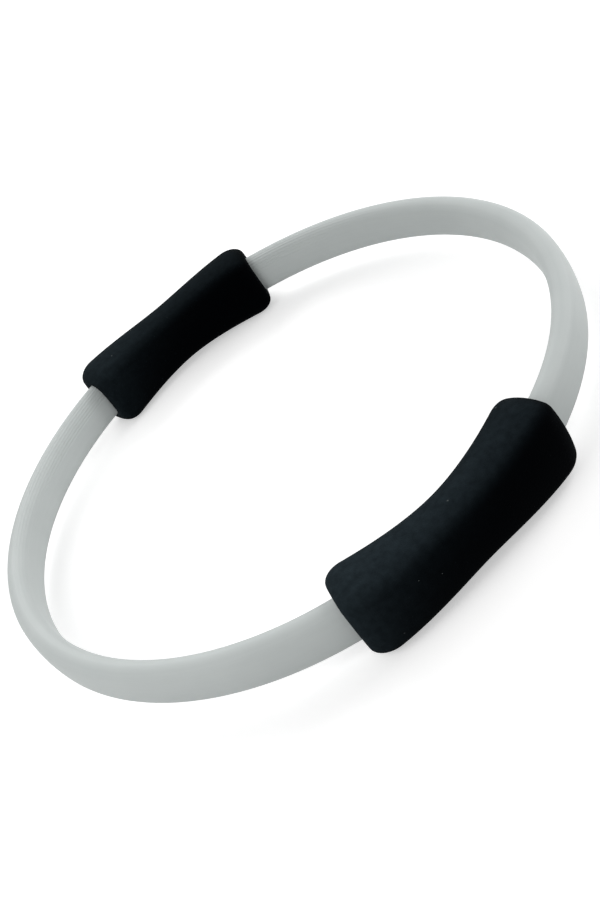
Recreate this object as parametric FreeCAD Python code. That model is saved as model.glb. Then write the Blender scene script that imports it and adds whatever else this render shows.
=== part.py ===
import FreeCAD, Part
import math
import os

# A pilates ring lying flat. The hoop's axis is Z, the front grip is at -Y and the rear grip at +Y.
# Driving dimensions, in millimetres and degrees
HOOP_DIAMETER = 380.0          # across the outside of the sleeve
SLEEVE_WIDTH = 27.4            # along the hoop's axis
SLEEVE_THICKNESS = 15.2        # across the hoop
SLEEVE_CORNER_RADIUS = 6.0
SLEEVE_CROWN = 0.6             # swell of the broad faces and of the two edges
REED_PITCH = 1.93              # fine reeds run along the sleeve's upper inner edge
REED_DEPTH = 0.4
REED_COUNT = 7

LEAF_WIDTH = 12.0              # each bow bends on two fibreglass leaves
LEAF_THICKNESS = 2.0
LEAF_END_GAP = 4.0             # between the left and the right leaves, in the middle of a coupler

COUPLER_LENGTH = 64.0          # along the hoop
COUPLER_WALL = 1.5
COUPLER_CORNER_RADIUS = 2.0
SLEEVE_STOP_GAP = 1.0          # from a coupler's end to the sleeve's end

RIVET_DIAMETER = 4.0
RIVET_HEAD_DIAMETER = 7.0
RIVET_HEAD_HEIGHT = 1.4
RIVET_HEAD_BEVEL = 0.9
RIVET_FIRST = 10.0             # from the coupler's middle, along the hoop
RIVET_SPACING = 14.0
RIVETS_PER_BOW_END = 2

GRIP_LENGTH = 141.0            # along the hoop's centre line
GRIP_WAIST_WIDTH = 40.6        # along the hoop's axis
GRIP_WAIST_DEPTH = 33.7        # across the hoop
GRIP_WAIST_INSET = 1.8         # the waist's middle lies this far inside the hoop's centre line
GRIP_WAIST_ROUNDING = 15.0     # length of the bend between the two flanks
GRIP_END_WIDTH = 48.8
GRIP_END_DEPTH = 40.8
GRIP_CORNER_RADIUS = 10.0
GRIP_CROWN = 1.4
GRIP_RIM_RADIUS = 9.0          # rounding of the end faces' rims
GRIP_LEAN = 0.33               # share of the hoop's bend that the grip's sections do not follow
GRIP_SHIFT = 3.3               # each grip's middle, in degrees from the Y axis towards +X
FOOT_CUT = 0.5                 # flat on the underside of the four grip ends

CLEARANCE = 0.3                # between pieces that lie inside one another
HOLE_CLEARANCE = 0.2           # round a rivet's shank
RIVET_SEAT_GAP = 0.1           # under a rivet's heads
GRIP_STATIONS = 9              # sections of a grip, end to end

# Sizes that follow
HOOP_RADIUS = (HOOP_DIAMETER - SLEEVE_THICKNESS) / 2
PACK_THICKNESS = 2 * LEAF_THICKNESS + CLEARANCE
COUPLER_HALF_DEPTH = PACK_THICKNESS / 2 + CLEARANCE + COUPLER_WALL
COUPLER_HALF_WIDTH = LEAF_WIDTH / 2 + CLEARANCE + COUPLER_WALL
FRONT = GRIP_SHIFT
REAR = 180 - GRIP_SHIFT
BOWS = {"left": (REAR, FRONT + 360), "right": (FRONT, REAR)}
CENTRES = {"front": FRONT, "rear": REAR}
UP = FreeCAD.Vector(0, 0, 1)


def degrees_along(length):
    """The turn about the hoop's axis that goes with a length on the centre line."""
    return math.degrees(length / HOOP_RADIUS)


def grip_station(along):
    """Half width, half depth and offset of a grip at -1 to 1 along its length."""
    bend = 2 * GRIP_WAIST_ROUNDING / GRIP_LENGTH
    rise = (math.hypot(along, bend) - bend) / (math.hypot(1, bend) - bend)
    width = GRIP_WAIST_WIDTH + (GRIP_END_WIDTH - GRIP_WAIST_WIDTH) * rise
    depth = GRIP_WAIST_DEPTH + (GRIP_END_DEPTH - GRIP_WAIST_DEPTH) * rise
    return width / 2, depth / 2, -GRIP_WAIST_INSET * (1 - rise)


SHOULDER_HALF_WIDTH = grip_station(1 - 2 * GRIP_RIM_RADIUS / GRIP_LENGTH)[0]
HOOP_HEIGHT = SHOULDER_HALF_WIDTH - FOOT_CUT


def at(angle, out=0.0, up=0.0):
    """A point by its turn from the front towards +X, and its offset from the hoop's centre line."""
    turn = math.radians(angle)
    radius = HOOP_RADIUS + out
    return FreeCAD.Vector(radius * math.sin(turn), -radius * math.cos(turn), HOOP_HEIGHT + up)


def radial(angle):
    return (at(angle, 1) - at(angle)).normalize()


def oval(half_depth, half_width, corner_radius, crown, angle=90.0, offset=0.0, lean=0.0):
    """Eight tangent arcs, from the outer face over the top: crowned faces and edges, round corners."""
    reach = corner_radius + crown
    corner = (half_depth - reach, half_width - reach)
    spare = reach ** 2 - corner_radius ** 2
    face_radius = (corner[1] ** 2 + spare) / (2 * crown)
    edge_radius = (corner[0] ** 2 + spare) / (2 * crown)
    face_turn = math.atan2(corner[1], corner[0] - half_depth + face_radius)
    edge_turn = math.pi / 2 - math.atan2(corner[0], corner[1] - half_width + edge_radius)
    round_corner = [
        (corner[0] + corner_radius * math.cos(turn), corner[1] + corner_radius * math.sin(turn))
        for turn in (face_turn, (face_turn + edge_turn) / 2, edge_turn)
    ]
    half = round_corner + [(0, half_width)] + [(-out, up) for out, up in reversed(round_corner)]
    outline = half + [(-half_depth, 0)] + [(-out, -up) for out, up in half] + [(half_depth, 0)]
    outwards = radial(angle - lean)
    points = [at(angle, 0, up) + outwards * (offset + out) for out, up in outline]
    return [
        Part.Arc(points[i - 2], points[i - 1], points[i]).toShape()
        for i in range(0, len(points), 2)
    ]


def rectangle(half_depth, half_width, offset=0.0):
    """A wire in the section plane at +X."""
    corners = ((1, 1), (-1, 1), (-1, -1), (1, -1), (1, 1))
    return Part.makePolygon([
        at(90, offset + out_side * half_depth, up_side * half_width)
        for out_side, up_side in corners
    ])


def rounded_rectangle(half_depth, half_width, corner_radius):
    """The same with round corners."""
    flat_out = half_depth - corner_radius
    flat_up = half_width - corner_radius
    diagonal = corner_radius * math.sqrt(0.5)
    edges = []
    last = at(90, half_depth, -flat_up)
    for out_side, up_side in ((1, 1), (-1, 1), (-1, -1), (1, -1)):
        on_face = at(90, out_side * half_depth, up_side * flat_up)
        on_edge = at(90, out_side * flat_out, up_side * half_width)
        middle = at(90, out_side * (flat_out + diagonal), up_side * (flat_up + diagonal))
        start, end = (on_face, on_edge) if out_side == up_side else (on_edge, on_face)
        edges.append(Part.LineSegment(last, start).toShape())
        edges.append(Part.Arc(start, middle, end).toShape())
        last = end
    return Part.Wire(edges)


def sweep(outline, start, end, hole=None):
    """Turn a section about the hoop's axis from one angle to another."""
    wires = [outline, hole] if hole else [outline]
    face = Part.makeFace(wires, "Part::FaceMakerBullseye")
    face.rotate(FreeCAD.Vector(), UP, start - 90)
    return face.revolve(FreeCAD.Vector(), UP, end - start)


def sleeve_oval(inset=0.0):
    return oval(
        SLEEVE_THICKNESS / 2 - inset,
        SLEEVE_WIDTH / 2 - inset,
        SLEEVE_CORNER_RADIUS - inset,
        SLEEVE_CROWN,
    )


def halves(edge):
    """An arc cut in two at its middle."""
    first, last = edge.ParameterRange
    middle = (first + last) / 2
    return [edge.Curve.toShape(first, middle), edge.Curve.toShape(middle, last)]


def reeds(outer, inner):
    """Fine ridges from the middle of the top into the inner face, and the plain rest of that face."""
    crests = Part.Wire(halves(outer[0])[1:] + outer[1:])
    pitches = round(crests.Length / REED_PITCH)
    points = crests.discretize(Number=2 * pitches + 1)
    floor = Part.Wire(inner)
    last = 2 * REED_COUNT
    for i in range(1, last, 2):
        points[i] = floor.distToShape(Part.Vertex(points[i]))[1][0][0]
    ridges = [
        Part.LineSegment(start, end).toShape()
        for start, end in zip(points[:last], points[1:last + 1])
    ]
    return ridges + [Part.Arc(points[last], points[-2], points[-1]).toShape()]


def make_sleeve(side):
    """A soft extruded sleeve, reeded along its upper inner edge, with a channel for the leaves."""
    start, end = BOWS[side]
    stop = degrees_along(COUPLER_LENGTH / 2 + SLEEVE_STOP_GAP)
    outer = sleeve_oval()
    inner = sleeve_oval(REED_DEPTH)
    outline = Part.Wire(outer[:2] + halves(outer[2])[:1] + reeds(outer[2:5], inner[2:5]) + outer[5:])
    channel = rectangle(PACK_THICKNESS / 2 + CLEARANCE, LEAF_WIDTH / 2 + CLEARANCE)
    return sweep(outline, start + stop, end - stop, channel)


def rivet_angles(side, grip):
    """Turns of the rivets that hold one bow's end in one coupler."""
    direction = 1 if (side == "right") == (grip == "front") else -1
    return [
        CENTRES[grip] + direction * degrees_along(RIVET_FIRST + i * RIVET_SPACING)
        for i in range(RIVETS_PER_BOW_END)
    ]


def pin(angle, radius, half_length):
    """A radial cylinder across the hoop."""
    return Part.makeCylinder(radius, 2 * half_length, at(angle, -half_length), radial(angle))


def make_leaf(side, layer):
    """One fibreglass leaf of a bow, drilled at both ends."""
    start, end = BOWS[side]
    stop = degrees_along(LEAF_END_GAP / 2)
    offset = layer * (LEAF_THICKNESS + CLEARANCE) / 2
    outline = rectangle(LEAF_THICKNESS / 2, LEAF_WIDTH / 2, offset)
    leaf = sweep(outline, start + stop, end - stop)
    for grip in CENTRES:
        for angle in rivet_angles(side, grip):
            leaf = leaf.cut(pin(angle, RIVET_DIAMETER / 2 + HOLE_CLEARANCE, COUPLER_HALF_DEPTH))
    return leaf


def make_coupler(grip):
    """A flattened steel tube, bent to the hoop, that joins the two bows inside a grip."""
    half = degrees_along(COUPLER_LENGTH / 2)
    outer = rounded_rectangle(COUPLER_HALF_DEPTH, COUPLER_HALF_WIDTH, COUPLER_CORNER_RADIUS)
    bore = rounded_rectangle(
        COUPLER_HALF_DEPTH - COUPLER_WALL,
        COUPLER_HALF_WIDTH - COUPLER_WALL,
        COUPLER_CORNER_RADIUS - COUPLER_WALL,
    )
    coupler = sweep(outer, CENTRES[grip] - half, CENTRES[grip] + half, bore)
    for side in BOWS:
        for angle in rivet_angles(side, grip):
            hole = pin(angle, RIVET_DIAMETER / 2 + HOLE_CLEARANCE, 2 * COUPLER_HALF_DEPTH)
            coupler = coupler.cut(hole)
    return coupler


def make_rivet(angle):
    """A rivet through the coupler and both leaves, with a bevelled head on each end."""
    seat = COUPLER_HALF_DEPTH + RIVET_SEAT_GAP
    top = seat + RIVET_HEAD_HEIGHT
    shank = RIVET_DIAMETER / 2
    head = RIVET_HEAD_DIAMETER / 2
    bevelled = RIVET_HEAD_BEVEL
    half = [(shank, seat), (head, seat), (head, top - bevelled), (head - bevelled, top), (0, top)]
    outline = half + [(across, -along) for across, along in reversed(half)] + half[:1]
    profile = Part.makePolygon([FreeCAD.Vector(across, 0, along) for across, along in outline])
    rivet = Part.Face(profile).revolve(FreeCAD.Vector(), UP, 360)
    rivet.Placement = FreeCAD.Placement(at(angle), FreeCAD.Rotation(UP, radial(angle)))
    return rivet


def make_rivets(side, grip):
    return Part.Compound([make_rivet(angle) for angle in rivet_angles(side, grip)])


def make_grip(grip):
    """A moulded foam grip: two flanks that widen from a waist to rounded ends."""
    centre = CENTRES[grip]
    half = degrees_along(GRIP_LENGTH / 2)
    sections = []
    for i in range(GRIP_STATIONS):
        along = 2 * i / (GRIP_STATIONS - 1) - 1
        turn = along * half
        width, depth, offset = grip_station(along)
        arcs = oval(
            depth,
            width,
            GRIP_CORNER_RADIUS,
            GRIP_CROWN,
            centre + turn,
            offset,
            turn * GRIP_LEAN,
        )
        sections.append(Part.Wire(arcs))
    body = Part.makeLoft(sections, True)
    rims = [
        edge
        for face in body.Faces
        if face.Surface.TypeId == "Part::GeomPlane"
        for edge in face.Edges
    ]
    body = body.makeFillet(GRIP_RIM_RADIUS, rims)
    return body.cut(grip_cavity(grip)).cut(floor())


def grip_cavity(grip):
    """The room that a grip's foam leaves for the sleeves, the coupler and the rivets' heads."""
    centre = CENTRES[grip]
    past = degrees_along(GRIP_LENGTH)
    stop = degrees_along(COUPLER_LENGTH / 2 + CLEARANCE)
    sleeve = Part.Wire(sleeve_oval(-CLEARANCE))
    coupler = rounded_rectangle(
        COUPLER_HALF_DEPTH + CLEARANCE,
        COUPLER_HALF_WIDTH + CLEARANCE,
        COUPLER_CORNER_RADIUS + CLEARANCE,
    )
    head_end = COUPLER_HALF_DEPTH + RIVET_SEAT_GAP + RIVET_HEAD_HEIGHT + CLEARANCE
    cavity = [
        sweep(sleeve, centre - past, centre - stop),
        sweep(coupler, centre - stop, centre + stop),
        sweep(sleeve, centre + stop, centre + past),
    ]
    for side in BOWS:
        for angle in rivet_angles(side, grip):
            cavity.append(pin(angle, RIVET_HEAD_DIAMETER / 2 + CLEARANCE, head_end))
    return cavity


def floor():
    """Everything below the plane that the ring lies on."""
    return Part.makeBox(
        2 * HOOP_DIAMETER,
        2 * HOOP_DIAMETER,
        HOOP_HEIGHT,
        FreeCAD.Vector(-HOOP_DIAMETER, -HOOP_DIAMETER, -HOOP_HEIGHT),
    )


os.makedirs("parts", exist_ok=True)
nodes = {}
for side in BOWS:
    nodes[f"{side}_sleeve"] = make_sleeve(side)
    nodes[f"{side}_inner_leaf"] = make_leaf(side, -1)
    nodes[f"{side}_outer_leaf"] = make_leaf(side, 1)
for grip in CENTRES:
    nodes[f"{grip}_coupler"] = make_coupler(grip)
    nodes[f"{grip}_foam_grip"] = make_grip(grip)
    for side in BOWS:
        nodes[f"{grip}_{side}_rivets"] = make_rivets(side, grip)
for name, shape in nodes.items():
    shape.exportStep(f"parts/{name}.step")
    print(name, len(shape.Solids), "solids", round(shape.Volume / 1000, 2), "cm3", shape.isValid())
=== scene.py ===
import math

import bmesh
import bpy
from mathutils import Matrix, Vector


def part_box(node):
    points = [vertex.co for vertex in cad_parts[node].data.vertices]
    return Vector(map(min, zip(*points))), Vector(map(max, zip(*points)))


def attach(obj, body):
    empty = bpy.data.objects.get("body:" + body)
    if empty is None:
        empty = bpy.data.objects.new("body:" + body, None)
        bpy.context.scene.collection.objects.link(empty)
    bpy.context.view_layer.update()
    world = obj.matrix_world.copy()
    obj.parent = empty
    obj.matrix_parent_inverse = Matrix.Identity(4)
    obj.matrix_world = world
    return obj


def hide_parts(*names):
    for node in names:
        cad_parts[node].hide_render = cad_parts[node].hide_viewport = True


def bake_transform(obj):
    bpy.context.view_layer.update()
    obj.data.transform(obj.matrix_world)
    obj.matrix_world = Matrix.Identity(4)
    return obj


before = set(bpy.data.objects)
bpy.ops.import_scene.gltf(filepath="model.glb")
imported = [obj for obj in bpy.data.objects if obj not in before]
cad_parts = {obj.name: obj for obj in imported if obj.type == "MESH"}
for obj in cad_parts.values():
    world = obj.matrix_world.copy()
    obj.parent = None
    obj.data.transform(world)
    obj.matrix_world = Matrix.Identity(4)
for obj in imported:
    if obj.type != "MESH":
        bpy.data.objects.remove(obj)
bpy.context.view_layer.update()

# Sizes in metres and radians. Turns about the hoop's axis start at the front and go towards +X.
HOOP_RADIUS = 0.1824
HOOP_HEIGHT = (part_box("left_sleeve")[0].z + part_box("left_sleeve")[1].z) / 2
GRIP_TURNS = {"front": math.radians(3.3), "rear": math.radians(176.7)}
APEX_TURNS = {"left": math.radians(270), "right": math.radians(90)}

SLEEVE_HALF_DEPTH = 0.0076
SLEEVE_HALF_WIDTH = 0.0137
SLEEVE_CORNER = 0.006
SLEEVE_CROWN = 0.0006
SLEEVE_STOP = 0.033             # from a grip's middle, along the hoop
SLEEVE_POINTS = 192
SLEEVE_STEP = math.radians(1.25)
CHANNEL_HALF_DEPTH = 0.00245
CHANNEL_HALF_WIDTH = 0.0063
CHANNEL_CORNER = 0.0004
CHANNEL_POINTS = 32
FLAT_CROWN = 0.00002            # swell of a side that is all but flat
LEAF_WELD = 1e-6

REED_PITCH = 0.00199
REED_DEPTH = 0.0003
REED_COUNT = 7
REED_POINTS = 112               # of the points round a sleeve; the rest lie on its plain sides
REEDS_BEGIN = (math.radians(105), math.radians(150))    # from none to full depth, past the right apex
REEDS_END = (math.radians(200), math.radians(285))      # and back to none, by the left apex
LOW_REEDS_SHIFT = math.radians(20)                      # the lowest reeds begin later and end sooner

GRIP_HALF_LENGTH = 0.0705
GRIP_WAIST = (0.0205, 0.01695)  # half width along the hoop's axis, half depth across the hoop
GRIP_END = (0.0242, 0.0204)
GRIP_WAIST_INSET = 0.00205
GRIP_WAIST_ROUNDING = 0.0148
GRIP_SHOULDER = 0.37            # share of a full S-curve in the flare of a flank
GRIP_CORNER = 0.01
GRIP_CROWN = 0.0014
GRIP_RIM = (0.0134, 0.0084)     # length along the hoop, depth below the flanks
GRIP_LEAN = 0.33                # share of the hoop's bend that a grip's sections do not follow
GRIP_FLANK_SHARE = 0.7          # of the rings along a grip; the rest go round its rims
GRIP_POINTS = 160
GRIP_RINGS = 80
MOUTH_GAP = 0.0003
MOUTH_ROUNDING = 0.0008
CORE_STOP = 0.0323
CORE_HALF_DEPTH = 0.0058
CORE_HALF_WIDTH = 0.0081
CORE_CORNER = 0.0023
BORE_STEP = math.radians(1.5)
MARKER = 0.01                   # radius of the plain ring that becomes a section


# Places on the hoop and on its sections
def along_hoop(length):
    """The turn that goes with a length on the hoop's centre line."""
    return length / HOOP_RADIUS


def hoop_point(turn, out=0.0, up=0.0):
    radius = HOOP_RADIUS + out
    return Vector((radius * math.sin(turn), -radius * math.cos(turn), HOOP_HEIGHT + up))


def oval_arcs(half_depth, half_width, corner, crown):
    """A quarter of a section as (centre, radius, first turn, last turn): face, corner, edge."""
    reach = corner + crown
    corner_at = (half_depth - reach, half_width - reach)
    spare = reach ** 2 - corner ** 2
    face = (corner_at[1] ** 2 + spare) / (2 * crown)
    edge = (corner_at[0] ** 2 + spare) / (2 * crown)
    face_turn = math.atan2(corner_at[1], corner_at[0] - half_depth + face)
    edge_turn = math.pi / 2 - math.atan2(corner_at[0], corner_at[1] - half_width + edge)
    return (
        ((half_depth - face, 0.0), face, 0.0, face_turn),
        (corner_at, corner, face_turn, edge_turn),
        ((0.0, half_width - edge), edge, edge_turn, math.pi / 2),
    )


def quarter_length(arcs):
    return sum(radius * (last - first) for _, radius, first, last in arcs)


def on_oval(share, arcs, sink=0.0):
    """(out, up) at a share of the way round a section, from its outer face over the top."""
    quarter = int(4 * share) % 4
    part = 4 * share % 1
    distance = quarter_length(arcs) * (1 - part if quarter % 2 else part)
    for centre, radius, first, last in arcs:
        turn = first + distance / radius
        if turn <= last:
            break
        distance -= radius * (last - first)
    turn = min(turn, last)
    out = centre[0] + (radius - sink) * math.cos(turn)
    up = centre[1] + (radius - sink) * math.sin(turn)
    return out if quarter in (0, 3) else -out, up if quarter < 2 else -up


def oval(share, half_depth, half_width, corner, crown):
    return on_oval(share, oval_arcs(half_depth, half_width, corner, crown))


def smooth_step(value, low, high):
    part = min(max((value - low) / (high - low), 0.0), 1.0)
    return part * part * (3 - 2 * part)


# The forms of the sleeves and grips
SLEEVE_ARCS = oval_arcs(SLEEVE_HALF_DEPTH, SLEEVE_HALF_WIDTH, SLEEVE_CORNER, SLEEVE_CROWN)
SLEEVE_GIRTH = 4 * quarter_length(SLEEVE_ARCS)
REEDS_FROM = SLEEVE_GIRTH / 4   # round the section, in the middle of its top
REEDED_LENGTH = REED_COUNT * REED_PITCH
REEDED_SHARE = REED_POINTS / SLEEVE_POINTS


def reed_sink(turn, past):
    """How far the skin lies below the reeds' crests, at a turn and a length past the top's middle."""
    shift = LOW_REEDS_SHIFT * past / REEDED_LENGTH
    begun = smooth_step(turn % math.tau - shift, *REEDS_BEGIN)
    ended = smooth_step(turn % math.tau + shift, *REEDS_END)
    return REED_DEPTH * begun * (1 - ended) * (1 - abs(math.cos(math.pi * past / REED_PITCH)))


def sleeve_point(turn, share):
    """A point of the sleeve's oval: the first points lie on its half-round reeds, the rest past them."""
    if share < REEDED_SHARE:
        past = REEDED_LENGTH * share / REEDED_SHARE
        sink = reed_sink(turn, past)
    else:
        plain_part = (share - REEDED_SHARE) / (1 - REEDED_SHARE)
        past = REEDED_LENGTH + (SLEEVE_GIRTH - REEDED_LENGTH) * plain_part
        sink = 0.0
    return hoop_point(turn, *on_oval((REEDS_FROM + past) / SLEEVE_GIRTH % 1, SLEEVE_ARCS, sink))


def channel_outline(share):
    return oval(share, CHANNEL_HALF_DEPTH, CHANNEL_HALF_WIDTH, CHANNEL_CORNER, FLAT_CROWN)


def mouth_outline(share):
    return oval(
        share,
        SLEEVE_HALF_DEPTH + MOUTH_GAP,
        SLEEVE_HALF_WIDTH + MOUTH_GAP,
        SLEEVE_CORNER + MOUTH_GAP,
        SLEEVE_CROWN,
    )


def core_outline(share):
    return oval(share, CORE_HALF_DEPTH, CORE_HALF_WIDTH, CORE_CORNER, FLAT_CROWN)


def flare(part):
    """How far a flank has flared, 0 at the waist and 1 at the end: a rounded V with a shoulder."""
    bend = GRIP_WAIST_ROUNDING / GRIP_HALF_LENGTH
    rounded = (math.hypot(part, bend) - bend) / (math.hypot(1, bend) - bend)
    eased = (1 - math.cos(math.pi * part)) / 2
    return rounded + (eased - rounded) * GRIP_SHOULDER


def grip_point(centre, place, share):
    """A point of a grip's skin, at -1 to 1 along its rings: flared flanks, then round rims."""
    rim = max(0.0, (abs(place) - GRIP_FLANK_SHARE) / (1 - GRIP_FLANK_SHARE)) * math.pi / 2
    flank = (GRIP_HALF_LENGTH - GRIP_RIM[0]) * min(1.0, abs(place) / GRIP_FLANK_SHARE)
    distance = flank + GRIP_RIM[0] * math.sin(rim)
    inset = GRIP_RIM[1] * (1 - math.cos(rim))
    rise = flare(distance / GRIP_HALF_LENGTH)
    half_width = GRIP_WAIST[0] + (GRIP_END[0] - GRIP_WAIST[0]) * rise
    half_depth = GRIP_WAIST[1] + (GRIP_END[1] - GRIP_WAIST[1]) * rise
    out, up = oval(share, half_depth - inset, half_width - inset, GRIP_CORNER - inset, GRIP_CROWN)
    turn = math.copysign(along_hoop(distance), place)
    facing = centre + turn * (1 - GRIP_LEAN)
    outwards = (out - GRIP_WAIST_INSET * (1 - rise)) * Vector((math.sin(facing), -math.cos(facing), 0))
    return hoop_point(centre + turn, 0, max(up, -HOOP_HEIGHT)) + outwards


def leaned(point, centre, turn):
    """Moves a point round the hoop's axis into the plane of the grip's section at a turn."""
    facing = turn * (1 - GRIP_LEAN)
    radius = math.hypot(point.x, point.y)
    moved = facing + math.asin(HOOP_RADIUS * math.sin(turn - facing) / radius)
    return hoop_point(centre + moved, radius - HOOP_RADIUS, point.z - HOOP_HEIGHT)


# Modelling
def loop_share(out, up):
    return math.atan2(up, out) / math.tau % 1


def section_loop(bm, turn, outline, points):
    """A closed loop on a section's outline; gives its vertices and edges."""
    loop = bmesh.ops.create_circle(bm, segments=points, radius=1)["verts"]
    for vertex in loop:
        vertex.co = hoop_point(turn, *outline(loop_share(vertex.co.x, vertex.co.y)))
    edges = list(dict.fromkeys(edge for vertex in loop for edge in vertex.link_edges))
    return loop, edges


def sweep(bm, loop, edges, turn, steps):
    """Spins a loop about the hoop's axis; gives the last loop's edges."""
    swept = bmesh.ops.spin(
        bm, geom=loop + edges, cent=(0, 0, 0), axis=(0, 0, 1), angle=turn, steps=steps
    )
    return [part for part in swept["geom_last"] if isinstance(part, bmesh.types.BMEdge)]


def steps_for(turn, step):
    return max(1, round(abs(turn) / step))


def marker_ring(share):
    return MARKER * math.cos(math.tau * share), MARKER * math.sin(math.tau * share)


def formed_tube(bm, start, end, steps, points, form):
    """A plain ring is spun along the hoop, then each point goes where form puts its turn and share."""
    loop, first = section_loop(bm, start, marker_ring, points)
    last = sweep(bm, loop, first, end - start, steps)
    for vertex in bm.verts:
        turn = math.atan2(vertex.co.x, -vertex.co.y)
        out = math.hypot(vertex.co.x, vertex.co.y) - HOOP_RADIUS
        vertex.co = form(turn, loop_share(out, vertex.co.z - HOOP_HEIGHT))
    return first, last


def new_object(name, data):
    made = bpy.data.objects.new(name, data)
    bpy.context.scene.collection.objects.link(made)
    return made


def finished(bm, name, material, smooth=True):
    """Makes the piece's object, with faces that point outwards."""
    bmesh.ops.recalc_face_normals(bm, faces=bm.faces)
    for face in bm.faces:
        face.smooth = smooth
    mesh = bpy.data.meshes.new(name)
    bm.to_mesh(mesh)
    bm.free()
    piece = new_object(name, mesh)
    mesh.materials.append(material)
    return piece


def make_sleeve(name, start, end, material):
    """Half of a bow's sleeve, with the channel for its leaves."""
    bm = bmesh.new()
    steps = steps_for(end - start, SLEEVE_STEP)
    outside_first, outside_last = formed_tube(bm, start, end, steps, SLEEVE_POINTS, sleeve_point)
    channel, channel_first = section_loop(bm, start, channel_outline, CHANNEL_POINTS)
    channel_last = sweep(bm, channel, channel_first, end - start, steps)
    for rim, bore in ((outside_first, channel_first), (outside_last, channel_last)):
        bmesh.ops.bridge_loops(bm, edges=rim + bore)
        for edge in rim + bore:
            edge.smooth = False
    return finished(bm, name, material)


def make_leaf(name, node, front, material):
    """Half of a fibreglass leaf, cut at the apex of its bow."""
    bm = bmesh.new()
    bm.from_mesh(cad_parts[node].data)
    bmesh.ops.remove_doubles(bm, verts=bm.verts, dist=LEAF_WELD)
    bmesh.ops.bisect_plane(
        bm,
        geom=list(bm.verts) + list(bm.edges) + list(bm.faces),
        plane_co=(0, 0, 0),
        plane_no=(0, 1, 0),
        clear_outer=front,
        clear_inner=not front,
    )
    bmesh.ops.holes_fill(bm, edges=[edge for edge in bm.edges if edge.is_boundary])
    return finished(bm, name, material, smooth=False)


def make_grip(name, centre, material):
    """A foam grip: a skin that flares from a waist to round rims, and a bore for hoop and coupler."""
    bm = bmesh.new()
    half = along_hoop(GRIP_HALF_LENGTH)

    def skin_point(turn, share):
        return grip_point(centre, math.remainder(turn - centre, math.tau) / half, share)

    skin_first, skin_last = formed_tube(
        bm, centre - half, centre + half, GRIP_RINGS, GRIP_POINTS, skin_point
    )
    stop = along_hoop(CORE_STOP)
    core, core_first = section_loop(bm, centre - stop, core_outline, GRIP_POINTS)
    core_last = sweep(bm, core, core_first, 2 * stop, steps_for(2 * stop, BORE_STEP))
    mouths = []
    for side, rim, core_end in ((-1, skin_first, core_first), (1, skin_last, core_last)):
        mouth, mouth_edges = section_loop(bm, centre + side * half, mouth_outline, GRIP_POINTS)
        inward = side * (stop - half)
        bore_end = sweep(bm, mouth, mouth_edges, inward, steps_for(inward, BORE_STEP))
        for vertex in mouth:
            vertex.co = leaned(vertex.co, centre, side * half)
        bmesh.ops.bridge_loops(bm, edges=rim + mouth_edges)
        bmesh.ops.bridge_loops(bm, edges=bore_end + core_end)
        mouths += mouth_edges
    bmesh.ops.bevel(
        bm,
        geom=mouths,
        offset=MOUTH_ROUNDING,
        segments=3,
        profile=0.5,
        affect="EDGES",
        material=-1,
    )
    return finished(bm, name, material)


# Materials: colours, the painted light on the foam's top, and how lint lies on the foam
SLEEVE_SHADES = ((0.485, 0.52, 0.515, 1), (0.575, 0.61, 0.60, 1))
SLEEVE_SPECK = (0.3, 0.31, 0.3, 1)
FOAM_SHADES = ((0.00005, 0.0001, 0.0003, 1), (0.0002, 0.0005, 0.001, 1))
FOAM_SHEEN = (0.82, 0.96, 1.0, 1)
FOAM_CELLS = 1500.0
# painted light: the colour the foam is painted on top and towards -X, where light falls on it
FOAM_PAINTED_LIGHT = (0.0205, 0.0298, 0.0355, 1)
FOAM_LINT = (0.13, 0.14, 0.14, 1)
GLASS_SHADES = ((0.42, 0.44, 0.30, 1), (0.72, 0.73, 0.58, 1))
ZINC_SHADES = ((0.46, 0.47, 0.48, 1), (0.66, 0.67, 0.66, 1))
# painted light on the foam: lighter on top and towards -X, as light falls on it
PAINTED_LIGHT_FACING = (-1.92, 1.0)      # upward part of the normal, from no painted light to all of it
PAINTED_LIGHT_REACH = (-0.065, 0.085)    # along X, over which the painted light draws back to the top
PAINTED_LIGHT_STEEPNESS = (0.55, 15.8)   # how fast it thins down the sides, at either end of that reach
PAINTED_LIGHT_LEVEL = 0.667              # at the hoop's axis
PAINTED_LIGHT_DRIFT = (2.99, 0.744)      # how much the painted light drops per metre of X and of Y
PAINTED_LIGHT_MOTTLE = (0.6, 1.0)
LINT_RAGGEDNESS = 0.0012
LINT_RAGGED_SCALE = 1800.0
NOISE_SPAN = (0.3, 0.7)         # most of a noise's values lie in it
CLOUD_SPAN = (0.25, 0.75)


def feed(tree, socket, value):
    """Sets a socket to a plain value, or links it to the socket that feeds it."""
    if isinstance(value, bpy.types.NodeSocket):
        tree.links.new(value, socket)
    else:
        socket.default_value = value


def add(tree, kind, inputs=None, **settings):
    made = tree.nodes.new(kind)
    for setting, value in settings.items():
        setattr(made, setting, value)
    for socket, value in (inputs or {}).items():
        feed(tree, made.inputs[socket], value)
    return made


def maths(tree, operation, *values):
    return add(tree, "ShaderNodeMath", dict(enumerate(values)), operation=operation).outputs[0]


def blended(tree, first, share, second):
    """A share of the first value, and the rest from the second."""
    rest = maths(tree, "MULTIPLY", second, 1 - share)
    return maths(tree, "ADD", maths(tree, "MULTIPLY", first, share), rest)


def remap(tree, value, span, to=(0.0, 1.0)):
    sockets = {
        "Value": value,
        "From Min": span[0],
        "From Max": span[1],
        "To Min": to[0],
        "To Max": to[1],
    }
    return add(tree, "ShaderNodeMapRange", sockets).outputs["Result"]


def colour_mix(tree, factor, first, second):
    sockets = {0: factor, 6: first, 7: second}
    return add(tree, "ShaderNodeMix", sockets, data_type="RGBA").outputs[2]


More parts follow.
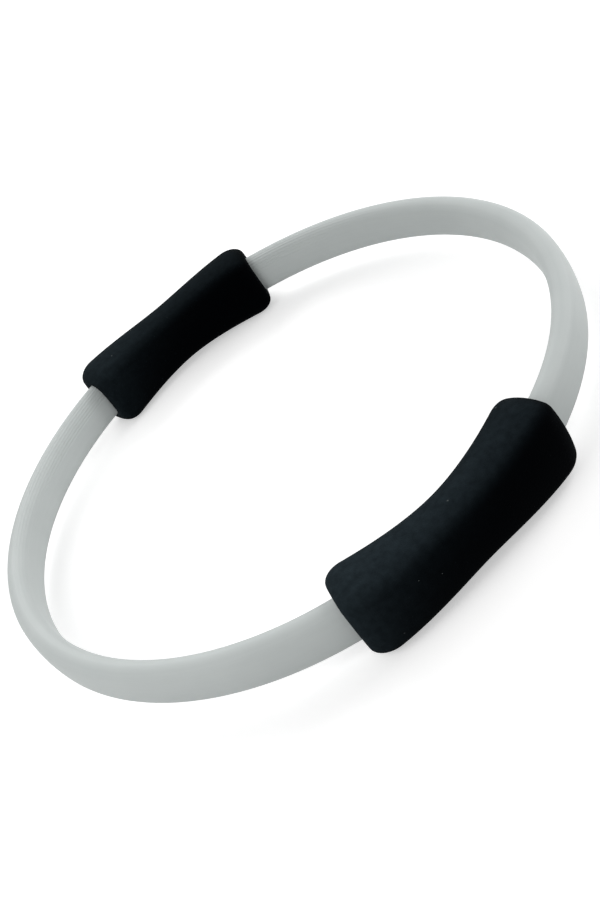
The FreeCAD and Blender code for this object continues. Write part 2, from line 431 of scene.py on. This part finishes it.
def bump(tree, height, depth):
    return add(tree, "ShaderNodeBump", {"Height": height, "Distance": depth}).outputs["Normal"]


def noise(tree, place, scale, detail=2.0, dimensions="3D"):
    sockets = {"Vector": place, "Scale": scale, "Detail": detail}
    return add(tree, "ShaderNodeTexNoise", sockets, noise_dimensions=dimensions).outputs


def object_coordinates(tree):
    return add(tree, "ShaderNodeTexCoord").outputs["Object"]


def parts_of(tree, vector):
    return add(tree, "ShaderNodeSeparateXYZ", {0: vector}).outputs


def new_group(name, inputs, outputs):
    tree = bpy.data.node_groups.new(name, "ShaderNodeTree")
    for label, value in inputs.items():
        socket = tree.interface.new_socket(label, in_out="INPUT", socket_type="NodeSocketFloat")
        socket.default_value = value
    for label in outputs:
        tree.interface.new_socket(label, in_out="OUTPUT", socket_type="NodeSocketFloat")
    return tree, tree.nodes.new("NodeGroupInput").outputs, tree.nodes.new("NodeGroupOutput").inputs


def place_group(tree, group, **values):
    sockets = {label.replace("_", " "): value for label, value in values.items()}
    return add(tree, "ShaderNodeGroup", sockets, node_tree=group).outputs


def drawn_lines_group():
    """Fine lines that run along the hoop, as a die or a draw leaves them."""
    tree, given, result = new_group("drawn lines", {"Scale": 800.0}, ["Lines"])
    place = parts_of(tree, object_coordinates(tree))
    squares = [maths(tree, "POWER", place[axis], 2.0) for axis in (0, 1)]
    radius = maths(tree, "SQRT", maths(tree, "ADD", *squares))
    across = add(tree, "ShaderNodeCombineXYZ", {0: radius, 1: place[2]}).outputs[0]
    tree.links.new(noise(tree, across, given["Scale"], dimensions="2D")[0], result["Lines"])
    return tree


def grain_group():
    """Soft unevenness: a fine grain and slow, wide clouds."""
    inputs = {"Scale": 2000.0, "Cloud Scale": 30.0}
    tree, given, result = new_group("grain", inputs, ["Grain", "Clouds"])
    place = object_coordinates(tree)
    tree.links.new(noise(tree, place, given["Scale"], 3.0)[0], result["Grain"])
    tree.links.new(noise(tree, place, given["Cloud Scale"], 3.0)[0], result["Clouds"])
    return tree


def specks_group():
    """Sparse, ragged specks of lint: a few of the cells of a wide pattern have one each."""
    inputs = {"Scale": 60.0, "Size": 0.02, "Share": 0.1}
    tree, given, result = new_group("specks", inputs, ["Specks"])
    place = object_coordinates(tree)
    waver = noise(tree, place, LINT_RAGGED_SCALE)["Color"]
    sockets = {0: waver, 1: (LINT_RAGGEDNESS,) * 3, 2: place}
    ragged = add(tree, "ShaderNodeVectorMath", sockets, operation="MULTIPLY_ADD").outputs[0]
    cells = add(tree, "ShaderNodeTexVoronoi", {"Vector": ragged, "Scale": given["Scale"]}).outputs
    chosen = add(tree, "ShaderNodeSeparateColor", {0: cells["Color"]}).outputs
    has_speck = maths(tree, "LESS_THAN", chosen[0], given["Share"])
    edge = maths(tree, "MULTIPLY", given["Size"], maths(tree, "ADD", 0.4, chosen[1]))
    core = remap(tree, cells["Distance"], (edge, maths(tree, "MULTIPLY", edge, 0.4)))
    tree.links.new(maths(tree, "MULTIPLY", has_speck, core), result["Specks"])
    return tree


# painted light: the foam's top and -X end painted lighter, standing for how light falls on them
def painted_light_group():
    """Painted light on the foam: lighter on top and towards -X, where it reaches further down the sides.
    """
    tree, _, result = new_group("painted light", {}, ["Dust"])
    place = parts_of(tree, object_coordinates(tree))
    upwards = parts_of(tree, add(tree, "ShaderNodeTexCoord").outputs["Normal"])[2]
    steepness = remap(tree, place[0], PAINTED_LIGHT_REACH, PAINTED_LIGHT_STEEPNESS)
    painted_lit = maths(tree, "POWER", remap(tree, upwards, PAINTED_LIGHT_FACING), steepness)
    painted_level = PAINTED_LIGHT_LEVEL
    for axis, drift in enumerate(PAINTED_LIGHT_DRIFT):
        painted_level = maths(tree, "SUBTRACT", painted_level, maths(tree, "MULTIPLY", place[axis], drift))
    tree.links.new(maths(tree, "MULTIPLY", painted_lit, painted_level), result["Dust"])
    return tree


def new_material(name, **sockets):
    """A material with a plain Principled shader; fixed values go straight to its sockets."""
    material = bpy.data.materials.new(name)
    material.use_nodes = True
    tree = material.node_tree
    shader = tree.nodes["Principled BSDF"].inputs
    for socket, value in sockets.items():
        shader[socket.replace("_", " ")].default_value = value
    return material, tree, shader


def dress(tree, shader, colour, roughness, normal):
    tree.links.new(colour, shader["Base Color"])
    tree.links.new(roughness, shader["Roughness"])
    tree.links.new(normal, shader["Normal"])


DRAWN_LINES = drawn_lines_group()
GRAIN = grain_group()
SPECKS = specks_group()
# painted light for the foam's top and -X end
PAINTED_LIGHT = painted_light_group()


def sleeve_grey():
    """Soft extruded rubber: pale grey, matte, with faint lines from the die."""
    material, tree, shader = new_material("sleeve grey", Specular_IOR_Level=0.35)
    lines = place_group(tree, DRAWN_LINES, Scale=900.0)["Lines"]
    grain = place_group(tree, GRAIN, Scale=2600.0, Cloud_Scale=28.0)
    specks = place_group(tree, SPECKS, Scale=90.0, Size=0.03, Share=0.05)["Specks"]
    clean = colour_mix(tree, blended(tree, grain["Clouds"], 0.7, lines), *SLEEVE_SHADES)
    colour = colour_mix(tree, maths(tree, "MULTIPLY", specks, 0.35), clean, SLEEVE_SPECK)
    roughness = remap(tree, grain["Grain"], NOISE_SPAN, (0.5, 0.64))
    height = blended(tree, grain["Grain"], 0.6, lines)
    dress(tree, shader, colour, roughness, bump(tree, height, 0.00004))
    return material


def foam_black():
    """Moulded black foam: a dull, slightly furry skin of tiny cells, with painted light on top and a
    little lint.
    """
    material, tree, shader = new_material(
        "foam black",
        Specular_IOR_Level=0.008,
        Sheen_Weight=0.01,
        Sheen_Roughness=0.5,
        Sheen_Tint=FOAM_SHEEN,
    )
    grain = place_group(tree, GRAIN, Scale=1500.0, Cloud_Scale=260.0)
    specks = place_group(tree, SPECKS, Scale=110.0, Size=0.05, Share=0.6)["Specks"]
    # painted light: how much lighter the foam is painted on top and towards -X
    painted_lit = place_group(tree, PAINTED_LIGHT)["Dust"]
    sockets = {"Vector": object_coordinates(tree), "Scale": FOAM_CELLS}
    cells = add(tree, "ShaderNodeTexVoronoi", sockets).outputs["Distance"]
    clean = colour_mix(tree, blended(tree, grain["Clouds"], 0.5, cells), *FOAM_SHADES)
    mottle = remap(tree, grain["Clouds"], CLOUD_SPAN, PAINTED_LIGHT_MOTTLE)
    # mixes the painted light into the foam's colour, mottled by the clouds
    painted_colour = colour_mix(tree, maths(tree, "MULTIPLY", painted_lit, mottle), clean, FOAM_PAINTED_LIGHT)
    colour = colour_mix(tree, specks, painted_colour, FOAM_LINT)
    roughness = remap(tree, grain["Grain"], NOISE_SPAN, (0.78, 0.95))
    height = maths(tree, "ADD", maths(tree, "MULTIPLY", grain["Grain"], 0.5), cells)
    dress(tree, shader, colour, roughness, bump(tree, height, 0.00012))
    return material


def fibreglass():
    """Drawn glass strands in pale resin."""
    material, tree, shader = new_material("fibreglass", Specular_IOR_Level=0.5)
    strands = place_group(tree, DRAWN_LINES, Scale=3500.0)["Lines"]
    grain = place_group(tree, GRAIN, Scale=900.0, Cloud_Scale=40.0)
    colour = colour_mix(tree, blended(tree, strands, 0.7, grain["Clouds"]), *GLASS_SHADES)
    roughness = remap(tree, strands, NOISE_SPAN, (0.28, 0.48))
    dress(tree, shader, colour, roughness, bump(tree, strands, 0.00003))
    return material


def zinc_steel():
    """Zinc-plated steel, dull and a little mottled."""
    material, tree, shader = new_material("zinc steel", Metallic=1.0)
    grain = place_group(tree, GRAIN, Scale=1400.0, Cloud_Scale=120.0)
    colour = colour_mix(tree, grain["Clouds"], *ZINC_SHADES)
    roughness = remap(tree, grain["Grain"], NOISE_SPAN, (0.3, 0.46))
    dress(tree, shader, colour, roughness, bump(tree, grain["Grain"], 0.00002))
    return material


# The hoop: each bow is made in two halves that meet at its apex
SLEEVE_GREY = sleeve_grey()
FOAM_BLACK = foam_black()
FIBREGLASS = fibreglass()
ZINC_STEEL = zinc_steel()
STOP_TURN = along_hoop(SLEEVE_STOP)


def bend_with_bow(piece, grip):
    """Bakes the piece's transform into its mesh, the same for either grip."""
    if grip == "rear":
        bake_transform(piece)
    else:
        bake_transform(piece)


for side in ("left", "right"):
    for grip in ("rear", "front"):
        direction = 1 if (side == "right") == (grip == "front") else -1
        sleeve_end = GRIP_TURNS[grip] + direction * STOP_TURN
        apex_turn = sleeve_end + math.remainder(APEX_TURNS[side] - sleeve_end, math.tau)
        sleeve = make_sleeve(f"{grip}_{side}_sleeve", sleeve_end, apex_turn, SLEEVE_GREY)
        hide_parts(f"{side}_sleeve")
        bend_with_bow(sleeve, grip)
        for layer in ("inner", "outer"):
            node = f"{side}_{layer}_leaf"
            leaf = make_leaf(f"{grip}_{node}", node, grip == "front", FIBREGLASS)
            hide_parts(node)
            bend_with_bow(leaf, grip)

# The grips, and the steel inside them
for grip, turn in GRIP_TURNS.items():
    foam = make_grip(f"{grip}_foam", turn, FOAM_BLACK)
    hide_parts(f"{grip}_foam_grip")
    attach(foam, f"{grip}_grip")
    for node in (f"{grip}_coupler", f"{grip}_left_rivets", f"{grip}_right_rivets"):
        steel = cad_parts[node]
        steel.data.materials.clear()
        steel.data.materials.append(ZINC_STEEL)

# Floor, light and camera
FLOOR_SIZE = 6.0
FLOOR_COLOUR = (0.8, 0.8, 0.8, 1)
FLOOR_SPAN = (0.5, 1.8)         # metres from the middle
FLOOR_LIFT = (0.45, 0.7)        # by the object, and far from it, where less light falls
AMBIENT = 0.405
WHITE = (1, 1, 1, 1)

CAMERA_TURN = -0.1667
CAMERA_RISE = 0.5798
CAMERA_ROLL = -0.6446
CAMERA_DISTANCE = 4.2034 * HOOP_RADIUS
CAMERA_TARGET = Vector((-0.0315 * HOOP_RADIUS, -0.2023 * HOOP_RADIUS, HOOP_HEIGHT))
CAMERA_FOCUS_PIXELS = 1354.9
IMAGE_HEIGHT = 900
SENSOR = 36.0


def seen_rays(tree):
    """1 for what the camera, a reflection or glass sees, and 0 for what lights the object."""
    rays = add(tree, "ShaderNodeLightPath").outputs
    seen = maths(tree, "MAXIMUM", rays["Is Camera Ray"], rays["Is Glossy Ray"])
    return maths(tree, "MAXIMUM", seen, rays["Is Transmission Ray"])


def make_floor():
    bm = bmesh.new()
    bmesh.ops.create_grid(bm, x_segments=1, y_segments=1, size=FLOOR_SIZE)
    mesh = bpy.data.meshes.new("floor")
    bm.to_mesh(mesh)
    bm.free()
    floor = new_object("floor", mesh)
    material, tree, shader = new_material(
        "pale floor",
        Base_Color=FLOOR_COLOUR,
        Roughness=0.9,
        Specular_IOR_Level=0.0,
        Emission_Color=WHITE,
    )
    place = object_coordinates(tree)
    distance = add(tree, "ShaderNodeVectorMath", {0: place}, operation="LENGTH").outputs["Value"]
    lift = remap(tree, distance, FLOOR_SPAN, FLOOR_LIFT)
    tree.links.new(maths(tree, "MULTIPLY", seen_rays(tree), lift), shader["Emission Strength"])
    mesh.materials.append(material)


def make_world():
    world = bpy.data.worlds.new("studio")
    world.use_nodes = True
    tree = world.node_tree
    background = tree.nodes["Background"].inputs
    background["Color"].default_value = WHITE
    strength = remap(tree, seen_rays(tree), (0.0, 1.0), (AMBIENT, 1.0))
    tree.links.new(strength, background["Strength"])
    bpy.context.scene.world = world


def make_softbox(name, place, size, power):
    light = bpy.data.lights.new(name, "AREA")
    light.energy = power
    light.shape = "SQUARE"
    light.size = size
    lamp = new_object(name, light)
    lamp.location = place
    lamp.rotation_euler = (-Vector(place)).to_track_quat("-Z", "Y").to_euler()


def make_camera():
    back = Vector((
        math.sin(CAMERA_TURN) * math.cos(CAMERA_RISE),
        -math.cos(CAMERA_TURN) * math.cos(CAMERA_RISE),
        math.sin(CAMERA_RISE),
    ))
    right = (-back).cross(Vector((0, 0, 1))).normalized()
    up = right.cross(-back)
    rolled_right = math.cos(CAMERA_ROLL) * right + math.sin(CAMERA_ROLL) * up
    rolled_up = math.cos(CAMERA_ROLL) * up - math.sin(CAMERA_ROLL) * right
    data = bpy.data.cameras.new("camera")
    data.sensor_fit = "VERTICAL"
    data.sensor_height = SENSOR
    data.lens = CAMERA_FOCUS_PIXELS / IMAGE_HEIGHT * SENSOR
    camera = new_object("camera", data)
    axes = Matrix((rolled_right, rolled_up, back)).transposed()
    camera.matrix_world = Matrix.Translation(CAMERA_TARGET + CAMERA_DISTANCE * back) @ axes.to_4x4()
    bpy.context.scene.camera = camera


make_floor()
make_world()
make_softbox("right softbox", place=(1.45, 0.0, 0.676), size=0.96, power=12.1)
make_softbox("rear softbox", place=(0.0, 1.226, 1.028), size=0.96, power=8.3)
make_softbox("left softbox", place=(-0.531, -0.306, 0.514), size=0.48, power=1.8)
make_camera()
bpy.context.scene.view_settings.view_transform = "Standard"
